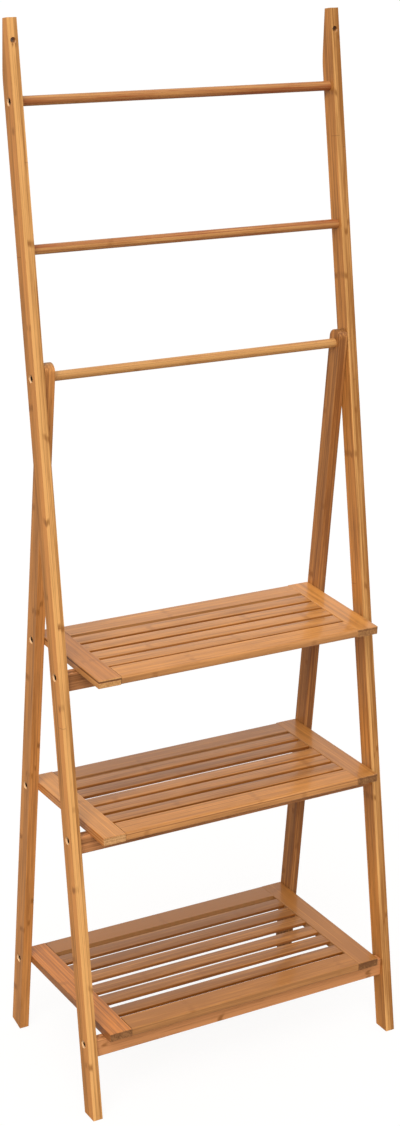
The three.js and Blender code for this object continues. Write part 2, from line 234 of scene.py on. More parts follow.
bambooFinishes = {
    "upright_bamboo": {  # strips that differ clearly and butt end to end
        "jointShare": 0.5,
        "stripToneShare": 0.8,
        "toneScatter": 115,
    },
    "leg_bamboo": {  # a browner batch
        "edgeLightHex": "#CC8A4A",
        "edgeDarkHex": "#86532A",
        "wideLightHex": "#BF8044",
        "wideDarkHex": "#805028",
        "pieceShare": 1.1,
        "toneScatter": 99,
    },
    "bar_bamboo": {  # turned from narrow strips, so that fine lines run along the rounds
        "edgeLightHex": "#C28E54",
        "edgeDarkHex": "#94522A",
        "wideLightHex": "#C28E54",
        "wideDarkHex": "#94522A",
        "pieceShare": 1,
        "stripWidth": 5 * mm,
        "strips": 3,
        "plyThickness": 5 * mm,
        "lineShare": 0.3,
        "nodeShare": 0.4,
    },
    "stretcher_bamboo": {  # two strips of two plies each, in a wide range from dark to light
        "edgeLightHex": "#CC8C58",
        "edgeDarkHex": "#7C4F2A",
        "wideLightHex": "#CC8C58",
        "wideDarkHex": "#7C4F2A",
        "pieceShare": 1,
        "stripWidth": 13.5 * mm,
        "plyThickness": 7 * mm,
        "plies": 2,
        "lineShare": 0.15,
    },
    "rail_bamboo": railFinish,  # a thin ply over a thick one, with a brown glue line on the edge
    "plain_rail_bamboo": {**railFinish, "lineShare": 0.12},  # the same with a line that hardly shows
    "shelf_1_end_bamboo": {  # a broad dark line where the plies meet, painted as the shade in an open joint, and a pale sawn end
        **railFinish,
        "wideLightHex": "#C17A32",
        "wideDarkHex": "#945A21",
        "endLightHex": "#D9A468",
        "endDarkHex": "#A87540",
        "plyThickness": 9.2 * mm,
        "lineWidth": 1.6 * mm,
        "lineCoreShare": 0.5,
        "lineShare": 0.85,
    },
    "shelf_2_end_bamboo": {  # three bands along the edge, with pale lines between them
        **railFinish,
        "edgeLightHex": "#C27A3C",
        "edgeDarkHex": "#94592A",
        "wideLightHex": "#DB9547",
        "wideDarkHex": "#AA6E35",
        "lineHex": "#E0B078",
        "endLightHex": "#D2A06A",
        "endDarkHex": "#99683A",
        "plyThickness": 4 * mm,
        "plies": 3,
        "lineShare": 0.5,
    },
    "shelf_3_end_bamboo": {  # a golden face over a darker edge
        **railFinish,
        "edgeLightHex": "#B47440",
        "edgeDarkHex": "#7E4E2A",
        "wideLightHex": "#DA8635",
        "wideDarkHex": "#A46226",
        "endLightHex": "#A87648",
        "endDarkHex": "#6A4322",
        "plyThickness": 9.8 * mm,
        "lineShare": 0.4,
    },
    # Painted shade: the slats' sides are darkened for the shade that falls in the narrow gaps between them
    "slat_bamboo": {  # sides painted darker than the face, as painted shade in the gaps, so that these read as thin brown lines
        "edgeLightHex": "#A8682E",
        "edgeDarkHex": "#7A4414",
        "wideLightHex": "#C58443",
        "wideDarkHex": "#8A5727",
        "strips": 1,
        "stripWidth": 22 * mm,
        "plyThickness": 5 * mm,
        "plies": 1,
        "nodeShare": 0.4,
        "stripToneShare": 0.25,
        "pieceShare": 0.9,
        "coat": 0.35,
        "coatRoughness": 0.1,
    },
}


# Which layer of the lamination a point is in, and how near it is to a glue line inside the piece
def layerNodes(tree, coordinate, pitch, count, lineWidth, coreShare):
    marginShare = 0.01  # keeps the outer faces inside the first and the last layer
    ratio = addNode(tree, "ShaderNodeMath", {"operation": "DIVIDE"}, {0: coordinate, 1: pitch})
    held = addNode(tree, "ShaderNodeClamp", {}, {0: ratio, "Min": marginShare, "Max": count - marginShare})
    layer = addNode(tree, "ShaderNodeMath", {"operation": "FLOOR"}, {0: held})
    if count == 1:
        return layer, None
    nearest = addNode(tree, "ShaderNodeMath", {"operation": "ROUND"}, {0: ratio})
    inside = addNode(tree, "ShaderNodeClamp", {}, {0: nearest, "Min": 1, "Max": count - 1})
    offset = addNode(tree, "ShaderNodeMath", {"operation": "SUBTRACT"}, {0: ratio, 1: inside})
    distance = addNode(tree, "ShaderNodeMath", {"operation": "ABSOLUTE"}, {0: offset})
    line = addNode(tree, "ShaderNodeMapRange", {"interpolation_type": "SMOOTHSTEP"}, {
        "Value": distance,
        "From Min": coreShare * lineWidth / pitch,
        "From Max": lineWidth / pitch,
        "To Min": 1,
        "To Max": 0,
    })
    return layer, line


# How near a point is to the marks that repeat along the grain, shifted in each strip by a random share
def markNodes(tree, along, shift, spacing, width, coreShare):
    moved = addNode(tree, "ShaderNodeMath", {"operation": "MULTIPLY_ADD"}, {0: shift, 1: spacing, 2: along})
    distance = addNode(tree, "ShaderNodeMath", {"operation": "PINGPONG"}, {0: moved, 1: spacing / 2})
    return addNode(tree, "ShaderNodeMapRange", {"interpolation_type": "SMOOTHSTEP"}, {
        "Value": distance, "From Min": coreShare * width, "From Max": width, "To Min": 1, "To Max": 0})


# Noise drawn out along the grain, which each layer reads at a place of its own
def patternNodes(tree, plan, grain, scatter):
    patterns = {}
    for pattern in ("fibre", "fleck", "mottle"):
        length, width = plan[pattern + "Size"]
        scaled = addNode(tree, "ShaderNodeVectorMath", {"operation": "MULTIPLY_ADD"},
                         {0: grain, 1: (1 / length, 1 / width, 1 / width), 2: scatter})
        patterns[pattern] = addNode(tree, "ShaderNodeTexNoise", {},
                                    {"Vector": scaled, "Scale": 1, "Detail": plan["patternDetail"]})
    return patterns


# How light the bamboo is, from 0 to 1: each term swings about the middle by its share, and flecks darken it
def shadeNodes(tree, plan, layerTone, pieceTone, patterns):
    terms = [
        (layerTone, plan["stripToneShare"]),
        (patterns["fibre"], plan["fibreShare"]),
        (patterns["mottle"], plan["mottleShare"]),
        (pieceTone, plan["pieceShare"]),
    ]
    shade = (1 - sum(share for term, share in terms)) / 2
    for term, share in terms:
        shade = addNode(tree, "ShaderNodeMath", {"operation": "MULTIPLY_ADD"}, {0: term, 1: share, 2: shade})
    faint, full = plan["fleckShares"]
    fleck = addNode(tree, "ShaderNodeMapRange", {}, {
        "Value": patterns["fleck"], "From Min": faint, "From Max": full, "To Max": plan["fleckDepthShare"]})
    return addNode(tree, "ShaderNodeMath", {"operation": "SUBTRACT", "use_clamp": True},
                   {0: shade, 1: fleck})


def makeBamboo(name, changes):
    plan = {**bambooBase, **changes}
    material, tree = newMaterial(name)
    grain = addNode(tree, "ShaderNodeAttribute", {"attribute_name": "grain"}).outputs["Vector"]
    tone = addNode(tree, "ShaderNodeAttribute", {"attribute_name": "tone"}).outputs["Fac"]
    faceKind = addNode(tree, "ShaderNodeAttribute", {"attribute_name": "faceKind"}).outputs["Vector"]
    along, across, through = addNode(tree, "ShaderNodeSeparateXYZ", {}, {0: grain}).outputs
    endFace, wideFace, rawFace = addNode(tree, "ShaderNodeSeparateXYZ", {}, {0: faceKind}).outputs

    lineSizes = (plan["lineWidth"], plan["lineCoreShare"])
    strip, stripLine = layerNodes(tree, across, plan["stripWidth"], plan["strips"], *lineSizes)
    ply, plyLine = layerNodes(tree, through, plan["plyThickness"], plan["plies"], *lineSizes)
    glueLines = [line for line in (stripLine, plyLine) if line]

    # The board's number is rounded, so that all its points make the same random draws
    scattered = addNode(tree, "ShaderNodeMath", {"operation": "MULTIPLY"}, {0: tone, 1: plan["toneScatter"]})
    pieceNumber = addNode(tree, "ShaderNodeMath", {"operation": "ROUND"}, {0: scattered})
    layerKey = addNode(tree, "ShaderNodeCombineXYZ", {}, {0: strip, 1: ply, 2: pieceNumber})
    draws = addNode(tree, "ShaderNodeTexWhiteNoise", {"noise_dimensions": "3D"},
                    {"Vector": layerKey}).outputs["Color"]
    layerTone, nodeShift, jointShift = addNode(tree, "ShaderNodeSeparateXYZ", {}, {0: draws}).outputs
    scatter = addNode(tree, "ShaderNodeVectorMath", {"operation": "SCALE"},
                      {0: draws, "Scale": plan["layerScatter"]})

    patterns = patternNodes(tree, plan, grain, scatter)
    shade = shadeNodes(tree, plan, layerTone, tone, patterns)
    woods = {}
    for face in ("edge", "wide", "end"):
        woods[face] = addNode(tree, "ShaderNodeMix", {"data_type": "RGBA"}, {
            "Factor_Float": shade,
            "A_Color": linearColour(plan[face + "DarkHex"]),
            "B_Color": linearColour(plan[face + "LightHex"]),
        }).outputs[2]

    # Node marks wander a little along the grain, and show only where the wood is blotched
    wobble = addNode(tree, "ShaderNodeMath", {"operation": "MULTIPLY_ADD"},
                     {0: patterns["mottle"], 1: plan["nodeWobble"], 2: along})
    band = markNodes(tree, wobble, nodeShift, plan["nodeSpacing"], plan["nodeWidth"], plan["nodeCoreShare"])
    clear, blotched = plan["blotchShares"]
    blotch = addNode(tree, "ShaderNodeMapRange", {}, {
        "Value": patterns["mottle"], "From Min": clear, "From Max": blotched, "To Max": plan["nodeShare"]})
    nodeMark = addNode(tree, "ShaderNodeMath", {"operation": "MULTIPLY"}, {0: band, 1: blotch})
    joint = markNodes(tree, along, jointShift, plan["jointSpacing"], plan["jointWidth"],
                      plan["lineCoreShare"])
    lineMarks = [
        addNode(tree, "ShaderNodeMath", {"operation": "MULTIPLY"}, {0: line, 1: plan[share]})
        for line, share in [(joint, "jointShare")] + [(glueLine, "lineShare") for glueLine in glueLines]
    ]

    layers = [(wideFace, woods["wide"]), (nodeMark, linearColour(plan["nodeHex"])), (endFace, woods["end"])]
    layers += [(lineMark, linearColour(plan["lineHex"])) for lineMark in lineMarks]
    layers.append((rawFace, linearColour(plan["rawHex"])))
    colour = woods["edge"]
    for amount, layer in layers:
        colour = addNode(tree, "ShaderNodeMix", {"data_type": "RGBA"},
                         {"Factor_Float": amount, "A_Color": colour, "B_Color": layer}).outputs[2]

    swing = plan["roughnessSwing"]
    roughness = addNode(tree, "ShaderNodeMath", {"operation": "MULTIPLY_ADD"},
                        {0: patterns["fibre"], 1: swing, 2: plan["roughness"] - swing / 2})
    height = patterns["fibre"]
    for line in glueLines:
        height = addNode(tree, "ShaderNodeMath", {"operation": "SUBTRACT"}, {0: height, 1: line})
    bump = addNode(tree, "ShaderNodeBump", {}, {
        "Strength": plan["bumpStrength"], "Distance": plan["bumpDepth"], "Height": height})
    shader = addNode(tree, "ShaderNodeBsdfPrincipled", {}, {
        "Base Color": colour,
        "Roughness": roughness,
        "Specular IOR Level": plan["gloss"],
        "Coat Weight": plan["coat"],
        "Coat Roughness": plan["coatRoughness"],
        "Normal": bump,
    })
    addNode(tree, "ShaderNodeOutputMaterial", {}, {"Surface": shader})
    return material


# Dark steel, turned on a lathe: nearly black and half dull, with a fine speckle that catches the light
# Its near-black colour is partly the steel's own and partly painted shade for the shadow deep in the counterbores
steelPlan = {
    "colourHex": "#1C110A",
    "roughness": 0.45,
    "roughnessSwing": 0.2,
    "speckleSize": 0.3 * mm,  # the real grain is about 0.05 mm, too fine to show, so drawn coarser
    "speckleDetail": 2,
}


def makeSteel(name, plan):
    material, tree = newMaterial(name)
    place = addNode(tree, "ShaderNodeTexCoord").outputs["Object"]
    scaled = addNode(tree, "ShaderNodeVectorMath", {"operation": "SCALE"},
                     {0: place, "Scale": 1 / plan["speckleSize"]})
    speckle = addNode(tree, "ShaderNodeTexNoise", {},
                      {"Vector": scaled, "Scale": 1, "Detail": plan["speckleDetail"]})
    swing = plan["roughnessSwing"]
    roughness = addNode(tree, "ShaderNodeMath", {"operation": "MULTIPLY_ADD"},
                        {0: speckle, 1: swing, 2: plan["roughness"] - swing / 2})
    shader = addNode(tree, "ShaderNodeBsdfPrincipled", {}, {
        "Base Color": linearColour(plan["colourHex"]),
        "Metallic": 1,
        "Roughness": roughness,
    })
    addNode(tree, "ShaderNodeOutputMaterial", {}, {"Surface": shader})
    return material


materials = {name: makeBamboo(name, changes) for name, changes in bambooFinishes.items()}
materials["screw_steel"] = makeSteel("screw_steel", steelPlan)
print("materials made:", len(materials))


# How light each board is: 0.5 is the middle of its finish, less is darker and more is lighter
# Partly the wood's own tone and partly painted light and shade: the right-hand boards are darker as the light
# falls off to the right, shelves 2 and 3 darker, most at their rear rails, where the shelves above shade them,
# and stretcher 3 lighter, against the shade that the shelf above casts on it
boardToneAndShadeShares = {
    "left_upright": 0.88,
    # Painted shade: the right-hand upright and leg are darker, as the light falls off to the right
    "right_upright": 0.36,
    "left_rear_leg": 0.78,
    "right_rear_leg": 0.28,
    "top_bar": 0.35,
    "middle_bar": 0.51,
    "pivot_bar": 1,
    # Painted light: stretcher 3 is lighter, against the shade of the shelf above it
    "stretcher_1": 0.45,
    "stretcher_2": 0.4,
    "stretcher_3": 0.9,
    "shelf_1_rear_rail": 0.38,
    "shelf_1_front_rail": 0.51,
    "shelf_1_left_end_rail": 0.51,
    "shelf_1_right_end_rail": 0.65,
    # Painted shade: shelves 2 and 3 are darker, most at their rear rails, where the shelves above shade them
    "shelf_2_rear_rail": 0,
    "shelf_2_front_rail": 0.55,
    "shelf_2_left_end_rail": 0.6,
    "shelf_2_right_end_rail": 0.2,
    "shelf_3_rear_rail": -0.55,
    "shelf_3_front_rail": 0.1,
    "shelf_3_left_end_rail": 0.3,
    "shelf_3_right_end_rail": -0.1,
}


def newObject(name, data):
    piece = bpy.data.objects.new(name, data)
    bpy.context.scene.collection.objects.link(piece)
    return piece


# The result of an object's modifiers as a plain mesh
def bakedMesh(piece):
    depsgraph = bpy.context.evaluated_depsgraph_get()
    depsgraph.update()
    mesh = bpy.data.meshes.new_from_object(
        piece.evaluated_get(depsgraph), preserve_all_data_layers=True, depsgraph=depsgraph)
    bpy.data.objects.remove(piece)
    return mesh


# Where each point lies in its own board, along, across and through the grain, and how light the board is
def markGrain(mesh, name, axes):
    directions = [axes[key] for key in ("along", "across", "through")]
    spans = [[direction.dot(vertex.co) for vertex in mesh.vertices] for direction in directions]
    starts = [min(span) for span in spans]
    places = [value - start for row in zip(*spans) for value, start in zip(row, starts)]
    mesh.attributes.new("grain", "FLOAT_VECTOR", "POINT").data.foreach_set("vector", places)
    tones = [boardToneAndShadeShares[name]] * len(mesh.vertices)
    mesh.attributes.new("tone", "FLOAT", "POINT").data.foreach_set("value", tones)


# Which faces are end grain, which are wide ones, and which are bare inside a bore
facePlan = {"power": 4}  # how quickly a kind of face gives way on the eased edges


def markFaces(mesh, axes, bores=(), boreReach=0, boreRadius=0):
    kinds = []
    for face in mesh.polygons:
        centre = face.center
        bare = any(math.hypot(centre.y - y, centre.z - z) < boreRadius for y, z in bores)
        kinds += [
            abs(face.normal.dot(axes["along"])) ** facePlan["power"],
            abs(face.normal.dot(axes["through"])) ** facePlan["power"],
            float(bare and abs(centre.x) < boreReach),
        ]
    mesh.attributes.new("faceKind", "FLOAT_VECTOR", "FACE").data.foreach_set("vector", kinds)


# A board cut as the frame has it, with its edges eased
edgePlan = {
    "creaseDegrees": 30,
    "rimLength": 2.4 * mm,  # shorter edges belong to the rims of bores
    "rimShare": 0.35,
    "segments": 3,
    "flatDegrees": 0.6,
    "mergeDistance": 0.002 * mm,
}


def easedBoard(name, easing, hidden):
    shape = bmesh.new()
    shape.from_mesh(nodes[name].data)
    bmesh.ops.remove_doubles(shape, verts=shape.verts, dist=edgePlan["mergeDistance"])
    bmesh.ops.dissolve_limit(shape, angle_limit=math.radians(edgePlan["flatDegrees"]),
                             verts=shape.verts, edges=shape.edges)
    weights = shape.edges.layers.float.new("bevel_weight_edge")
    for face in shape.faces:
        face.smooth = True
    for edge in shape.edges:
        if len(edge.link_faces) != 2 or edge.calc_face_angle() < math.radians(edgePlan["creaseDegrees"]):
            continue
        edge.smooth = False
        middle = (edge.verts[0].co + edge.verts[1].co) / 2
        if edge.is_convex and not hidden(middle):
            edge[weights] = 1 if edge.calc_length() > edgePlan["rimLength"] else edgePlan["rimShare"]
    mesh = bpy.data.meshes.new(name)
    shape.to_mesh(mesh)
    shape.free()
    piece = newObject(name + "_draft", mesh)
    bevel = piece.modifiers.new("easing", "BEVEL")
    bevel.limit_method = "WEIGHT"
    bevel.width = easing
    bevel.segments = edgePlan["segments"]
    bevel.harden_normals = True
    return bakedMesh(piece)


# A finished piece, with its body, its slot and the nodes that it replaces; look names another finish
def finish(name, mesh, body, slot, replaced, look=None):
    mesh.materials.clear()
    mesh.materials.append(materials[look or slot])
    piece = newObject(name, mesh)
    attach(piece, body)
    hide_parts(*replaced)


# The counterbores, where the bamboo is bare under the lacquered face
borePlan = {"radius": 5.9 * mm, "lip": 0.5 * mm}


def makeBoard(node, axes, body, slot, easing, hidden=lambda point: False, screws=(), look=None):
    mesh = easedBoard(node, easing, hidden)
    markGrain(mesh, node, axes)
    low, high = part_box(node)
    outer = max(abs(low.x), abs(high.x))
    bores = [(boxCentre(screw).y, boxCentre(screw).z) for screw in screws]
    markFaces(mesh, axes, bores, outer - borePlan["lip"], borePlan["radius"])
    finish(node + "_bamboo", mesh, body, slot, [node], look)


# Uprights and rear legs
stilePlan = {"easing": 1.2 * mm}

for side in ("left", "right"):
    uprightScrews = [f"{side}_top_bar_screw", f"{side}_pivot_screw"]
    uprightScrews += [name for name in nodes if name.startswith(side + "_stretcher")]
    legScrews = [f"{side}_{shelf}_screw" for shelf in shelfNames]
    makeBoard(f"{side}_upright", stileAxes(uprightRise), "front_frame", "upright_bamboo",
              stilePlan["easing"], screws=uprightScrews)
    makeBoard(f"{side}_rear_leg", stileAxes(legRise), "rear_frame", "leg_bamboo",
              stilePlan["easing"], screws=legScrews)
print("uprights and rear legs made")


# Stretchers
stretcherPlan = {"easing": 1.2 * mm}
stretcherAxes = {"along": sideways, "across": Vector((0, 0, 1)), "through": Vector((0, 1, 0))}


# A rule that leaves a stretcher's ends square, where they butt against the uprights
def besideUprights(node):
    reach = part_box(node)[1].x - stretcherPlan["easing"]
    return lambda point: abs(point.x) > reach


for node in sorted(name for name in nodes if name.startswith("stretcher")):
    makeBoard(node, stretcherAxes, "front_frame", "stretcher_bamboo", stretcherPlan["easing"],
              besideUprights(node))
print("stretchers made")


# Shelf rails
railPlan = {
    "easing": 0.8 * mm,
    "tolerance": 0.1 * mm,
    "crossLooks": {"shelf_1": "plain_rail_bamboo", "shelf_3": "plain_rail_bamboo"},
}


# A rule that hides the edges of an end rail's mortises from the easing
def insideBoard(node, run):
    normal = run.cross(sideways)
    spans = []
    for axis in (run, normal):
        values = [axis.dot(vertex.co) for vertex in nodes[node].data.vertices]
        spans.append((axis, min(values), max(values)))

    def hidden(point):
        return all(
            low + railPlan["tolerance"] < axis.dot(point) < high - railPlan["tolerance"]
            for axis, low, high in spans
        )

    return hidden


# A rule that hides a cross rail's tongues, which lie inside the end rails
def insideEndRails(shelf):
    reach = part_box(f"{shelf}_right_end_rail")[0].x
    return lambda point: abs(point.x) > reach


for shelf in shelfNames:
    run = shelfRun(shelf)
    for side in ("left", "right"):
        node = f"{shelf}_{side}_end_rail"
        makeBoard(node, boardAxes(run, True), shelf, "rail_bamboo", railPlan["easing"],
                  insideBoard(node, run), look=shelf + "_end_bamboo" if side == "left" else None)
    for place in ("rear", "front"):
        node = f"{shelf}_{place}_rail"
        makeBoard(node, boardAxes(run, False), shelf, "rail_bamboo", railPlan["easing"],
                  insideEndRails(shelf), look=railPlan["crossLooks"].get(shelf))
print("shelf rails made")


# A tree of geometry nodes with a named input for each size
def newTree(name, sizes):
    tree = bpy.data.node_groups.new(name, "GeometryNodeTree")
    kinds = {
        float: "NodeSocketFloat",
        int: "NodeSocketInt",
        bpy.types.Material: "NodeSocketMaterial",
        bpy.types.Object: "NodeSocketObject",
    }
    tree.interface.new_socket("Geometry", in_out="INPUT", socket_type="NodeSocketGeometry")
    for label, value in sizes.items():
        tree.interface.new_socket(label, in_out="INPUT", socket_type=kinds[type(value)])
    tree.interface.new_socket("Geometry", in_out="OUTPUT", socket_type="NodeSocketGeometry")
    entry = tree.nodes.new("NodeGroupInput")
    return tree, {socket.name: socket for socket in entry.outputs if socket.name}


# The points of a mesh, turned by a tree of nodes into one plain mesh
def treeMesh(name, tree, sizes, points, pointValues=None):
    mesh = bpy.data.meshes.new(name)
    mesh.from_pydata(points, [], [])
    for label, values in (pointValues or {}).items():
        mesh.attributes.new(label, "FLOAT", "POINT").data.foreach_set("value", values)
    piece = newObject(name + "_draft", mesh)
    modifier = piece.modifiers.new(name, "NODES")
    modifier.node_group = tree
    for socket in tree.interface.items_tree:
        if socket.in_out == "INPUT" and socket.name in sizes:
            modifier[socket.identifier] = sizes[socket.name]
    return bakedMesh(piece)


# A straight path along X, centred on the origin
def centredPath(tree, length):
    ends = []
    for share in (-0.5, 0.5):
        reach = addNode(tree, "ShaderNodeMath", {"operation": "MULTIPLY"}, {0: length, 1: share})
        ends.append(addNode(tree, "ShaderNodeCombineXYZ", {}, {0: reach}))
    return addNode(tree, "GeometryNodeCurvePrimitiveLine", {}, {"Start": ends[0], "End": ends[1]})


# Towel bars: a round section drawn along a line, one bar for each point
barPlan = {"sides": 80}


def barTree(sizes):
    tree, size = newTree("towel_bar", sizes)
    section = addNode(tree, "GeometryNodeCurvePrimitiveCircle", {},
                      {"Resolution": size["Sides"], "Radius": size["Radius"]})
    path = centredPath(tree, size["Length"])
    bar = addNode(tree, "GeometryNodeCurveToMesh", {},
                  {"Curve": path, "Profile Curve": section, "Fill Caps": True})
    placed = addNode(tree, "GeometryNodeInstanceOnPoints", {}, {"Points": size["Geometry"], "Instance": bar})
    real = addNode(tree, "GeometryNodeRealizeInstances", {}, {"Geometry": placed})
    dressed = addNode(tree, "GeometryNodeSetMaterial", {}, {"Geometry": real, "Material": size["Material"]})
    addNode(tree, "NodeGroupOutput", {}, {0: dressed})
    return tree


# Smooth faces, with an edge left sharp where they meet steeply
def shadeByAngle(mesh, degrees):
    shape = bmesh.new()
    shape.from_mesh(mesh)
    for face in shape.faces:
        face.smooth = True
    for edge in shape.edges:
        edge.smooth = len(edge.link_faces) == 2 and edge.calc_face_angle() < math.radians(degrees)
    shape.to_mesh(mesh)
    shape.free()


def makeBar(node, body):
    low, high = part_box(node)
    sizes = {
        "Length": high.x - low.x,
        "Radius": (high.z - low.z) / 2,
        "Sides": barPlan["sides"],
        "Material": materials["bar_bamboo"],
    }
    mesh = treeMesh(node, barTree(sizes), sizes, [boxCentre(node)])
    shadeByAngle(mesh, edgePlan["creaseDegrees"])
    axes = {"along": sideways, "across": Vector((0, 1, 0)), "through": Vector((0, 0, 1))}
    markGrain(mesh, node, axes)
    markFaces(mesh, axes)
    finish(node + "_bamboo", mesh, body, "bar_bamboo", [node])


for node, body in (("top_bar", "front_frame"), ("middle_bar", "front_frame"), ("pivot_bar", "rear_frame")):
    makeBar(node, body)
print("towel bars made")


# Slats: one rounded strip with a tongue at each end, set on a point for each slat of the shelf
slatPlan = {
    # Painted shade: the slats of the lower shelves are darker, where the shelves above shade them
    "shadeAndToneShares": {  # the darkest and the lightest slat of each shelf
        "shelf_1": (0.55, 0.8),
        "shelf_2": (0.3, 0.6),
        "shelf_3": (0.0, 0.25),
    },
    "edgeRadius": 0.6 * mm,
    "edgeSteps": 4,
    "tongueShare": 0.65,  # of the slat's thickness
    "tongueLength": 6 * mm,
    "endShare": 0.9,  # a face whose normal points along the slat by more than this is an end
    "seed": 11,
}


def slatTree(sizes):
    tree, size = newTree("slats", sizes)
    section = addNode(tree, "GeometryNodeCurvePrimitiveQuadrilateral", {},
                      {"Width": size["Width"], "Height": size["Thickness"]})
    rounded = addNode(tree, "GeometryNodeFilletCurve", {"mode": "POLY"},
                      {"Curve": section, "Count": size["Edge Steps"], "Radius": size["Edge Radius"]})
    path = centredPath(tree, size["Length"])
    strip = addNode(tree, "GeometryNodeCurveToMesh", {},
                    {"Curve": path, "Profile Curve": rounded, "Fill Caps": True})

    # Each end face is split off, narrowed, and drawn out into a tongue
    normal = addNode(tree, "ShaderNodeSeparateXYZ", {}, {0: addNode(tree, "GeometryNodeInputNormal")})
    lengthwise = addNode(tree, "ShaderNodeMath", {"operation": "ABSOLUTE"}, {0: normal})
    isEnd = addNode(tree, "ShaderNodeMath", {"operation": "GREATER_THAN"},
                    {0: lengthwise, 1: slatPlan["endShare"]})
    stepped = addNode(tree, "GeometryNodeExtrudeMesh", {"mode": "FACES"},
                      {"Mesh": strip, "Selection": isEnd, "Offset Scale": 0, "Individual": True})
    narrowed = addNode(tree, "GeometryNodeScaleElements", {"scale_mode": "SINGLE_AXIS"}, {
        "Geometry": stepped,
        "Selection": stepped.outputs["Top"],
        "Scale": size["Tongue Share"],
        "Axis": (0, 0, 1),
    })
    tongued = addNode(tree, "GeometryNodeExtrudeMesh", {"mode": "FACES"}, {
        "Mesh": narrowed,
        "Selection": stepped.outputs["Top"],
        "Offset Scale": size["Tongue Length"],
        "Individual": True,
    })

    # The grain is measured from one corner of the slat
    extent = addNode(tree, "ShaderNodeCombineXYZ", {},
                     {0: size["Length"], 1: size["Width"], 2: size["Thickness"]})
    half = addNode(tree, "ShaderNodeVectorMath", {"operation": "SCALE"}, {0: extent, "Scale": 0.5})
    position = addNode(tree, "GeometryNodeInputPosition")
    grain = addNode(tree, "ShaderNodeVectorMath", {"operation": "ADD"}, {0: position, 1: half})
    grained = addNode(tree, "GeometryNodeStoreNamedAttribute",
                      {"data_type": "FLOAT_VECTOR", "domain": "POINT"},
                      {"Geometry": tongued, "Name": "grain", "Value": grain})

    turn = addNode(tree, "ShaderNodeCombineXYZ", {}, {0: size["Tilt"]})
    placed = addNode(tree, "GeometryNodeInstanceOnPoints", {},
                     {"Points": size["Geometry"], "Instance": grained, "Rotation": turn})
    draw = addNode(tree, "FunctionNodeRandomValue", {"data_type": "FLOAT"},
                   {"Min_001": size["Darkest"], "Max_001": size["Lightest"], "Seed": size["Seed"]})
    toned = addNode(tree, "GeometryNodeStoreNamedAttribute",
                    {"data_type": "FLOAT", "domain": "INSTANCE"},
                    {"Geometry": placed, "Name": "tone", "Value": draw.outputs[1]})
    real = addNode(tree, "GeometryNodeRealizeInstances", {}, {"Geometry": toned})
    dressed = addNode(tree, "GeometryNodeSetMaterial", {}, {"Geometry": real, "Material": size["Material"]})
    addNode(tree, "NodeGroupOutput", {}, {0: dressed})
    return tree


def makeSlats(shelf, number):
    rows = slatNodes(shelf)
    run = shelfRun(shelf)
    axes = boardAxes(run, False)
    low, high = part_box(rows[0])
    corners = [vertex.co for vertex in nodes[rows[0]].data.vertices]
    spans = {key: [axes[key].dot(corner) for corner in corners] for key in axes}
    darkest, lightest = slatPlan["shadeAndToneShares"][shelf]
    sizes = {
        "Length": high.x - low.x - 2 * slatPlan["tongueLength"],
        "Width": max(spans["across"]) - min(spans["across"]),
        "Thickness": max(spans["through"]) - min(spans["through"]),
        "Edge Radius": slatPlan["edgeRadius"],
        "Edge Steps": slatPlan["edgeSteps"],
        "Tongue Share": slatPlan["tongueShare"],
        "Tongue Length": slatPlan["tongueLength"],
        "Tilt": math.atan2(-run.z, -run.y),
        "Darkest": darkest,
        "Lightest": lightest,
        "Seed": slatPlan["seed"] + number,
        "Material": materials["slat_bamboo"],
    }
    mesh = treeMesh(shelf + "_slats", slatTree(sizes), sizes, [boxCentre(row) for row in rows])
    shadeByAngle(mesh, edgePlan["creaseDegrees"])
    markFaces(mesh, axes)
    finish(shelf + "_slats_bamboo", mesh, shelf, "slat_bamboo", rows)


for number, shelf in enumerate(shelfNames):
    makeSlats(shelf, number)
print("slats made")


# Screws: one turned screw with a hexagon socket, set on a point for each of its places
screwPlan = {
    "sides": 36,
    "headRadius": 4.5 * mm,
    "headHeight": 2.4 * mm,
    "rimRadius": 0.5 * mm,
    "rimSteps": 3,
    "shankRadius": 2 * mm,
    "tipLength": 3 * mm,
    "tipShare": 0.4,  # of the shank's radius
    "keyWidth": 4 * mm,
    "keyDepth": 1.4 * mm,
    "seed": 5,
}


# Rings of points from the tip to the bottom of the socket, with the head's top at zero and the shank below
def screwMesh(plan):
    def circle(radius):
        return lambda angle: radius

    def hexagon(width):
        sixth = math.pi / 3
        return lambda angle: width / 2 / math.cos(angle % sixth - sixth / 2)

    head, rim = plan["headRadius"], plan["rimRadius"]
    seat = -plan["headHeight"]
    rings = [
        (circle(plan["shankRadius"] * plan["tipShare"]), seat - plan["tipLength"], 1),
        (circle(plan["shankRadius"]), seat, 1),
        (circle(plan["shankRadius"]), seat, 0),
        (circle(head), seat, 0),
    ]
    for step in range(plan["rimSteps"] + 1):
        turn = step / plan["rimSteps"] * math.pi / 2
        rings.append((circle(head - rim + rim * math.cos(turn)), rim * math.sin(turn) - rim, 0))
    rings += [(hexagon(plan["keyWidth"]), 0, 0), (hexagon(plan["keyWidth"]), -plan["keyDepth"], 0)]
    points, tails = [], []
    for radius, height, tail in rings:
        for side in range(plan["sides"]):
            angle = side / plan["sides"] * math.tau
            points.append((radius(angle) * math.cos(angle), radius(angle) * math.sin(angle), height))
            tails.append(tail)
    faces = [tuple(reversed(range(plan["sides"])))]
    for ring in range(len(rings) - 1):
        for side in range(plan["sides"]):
            here = ring * plan["sides"] + side
            beside = ring * plan["sides"] + (side + 1) % plan["sides"]
            faces.append((here, beside, beside + plan["sides"], here + plan["sides"]))
    last = (len(rings) - 1) * plan["sides"]
    faces.append(tuple(range(last, last + plan["sides"])))
    mesh = bpy.data.meshes.new("screw")
    mesh.from_pydata(points, [], faces)
    mesh.attributes.new("tail", "FLOAT", "POINT").data.foreach_set("value", tails)
    return mesh


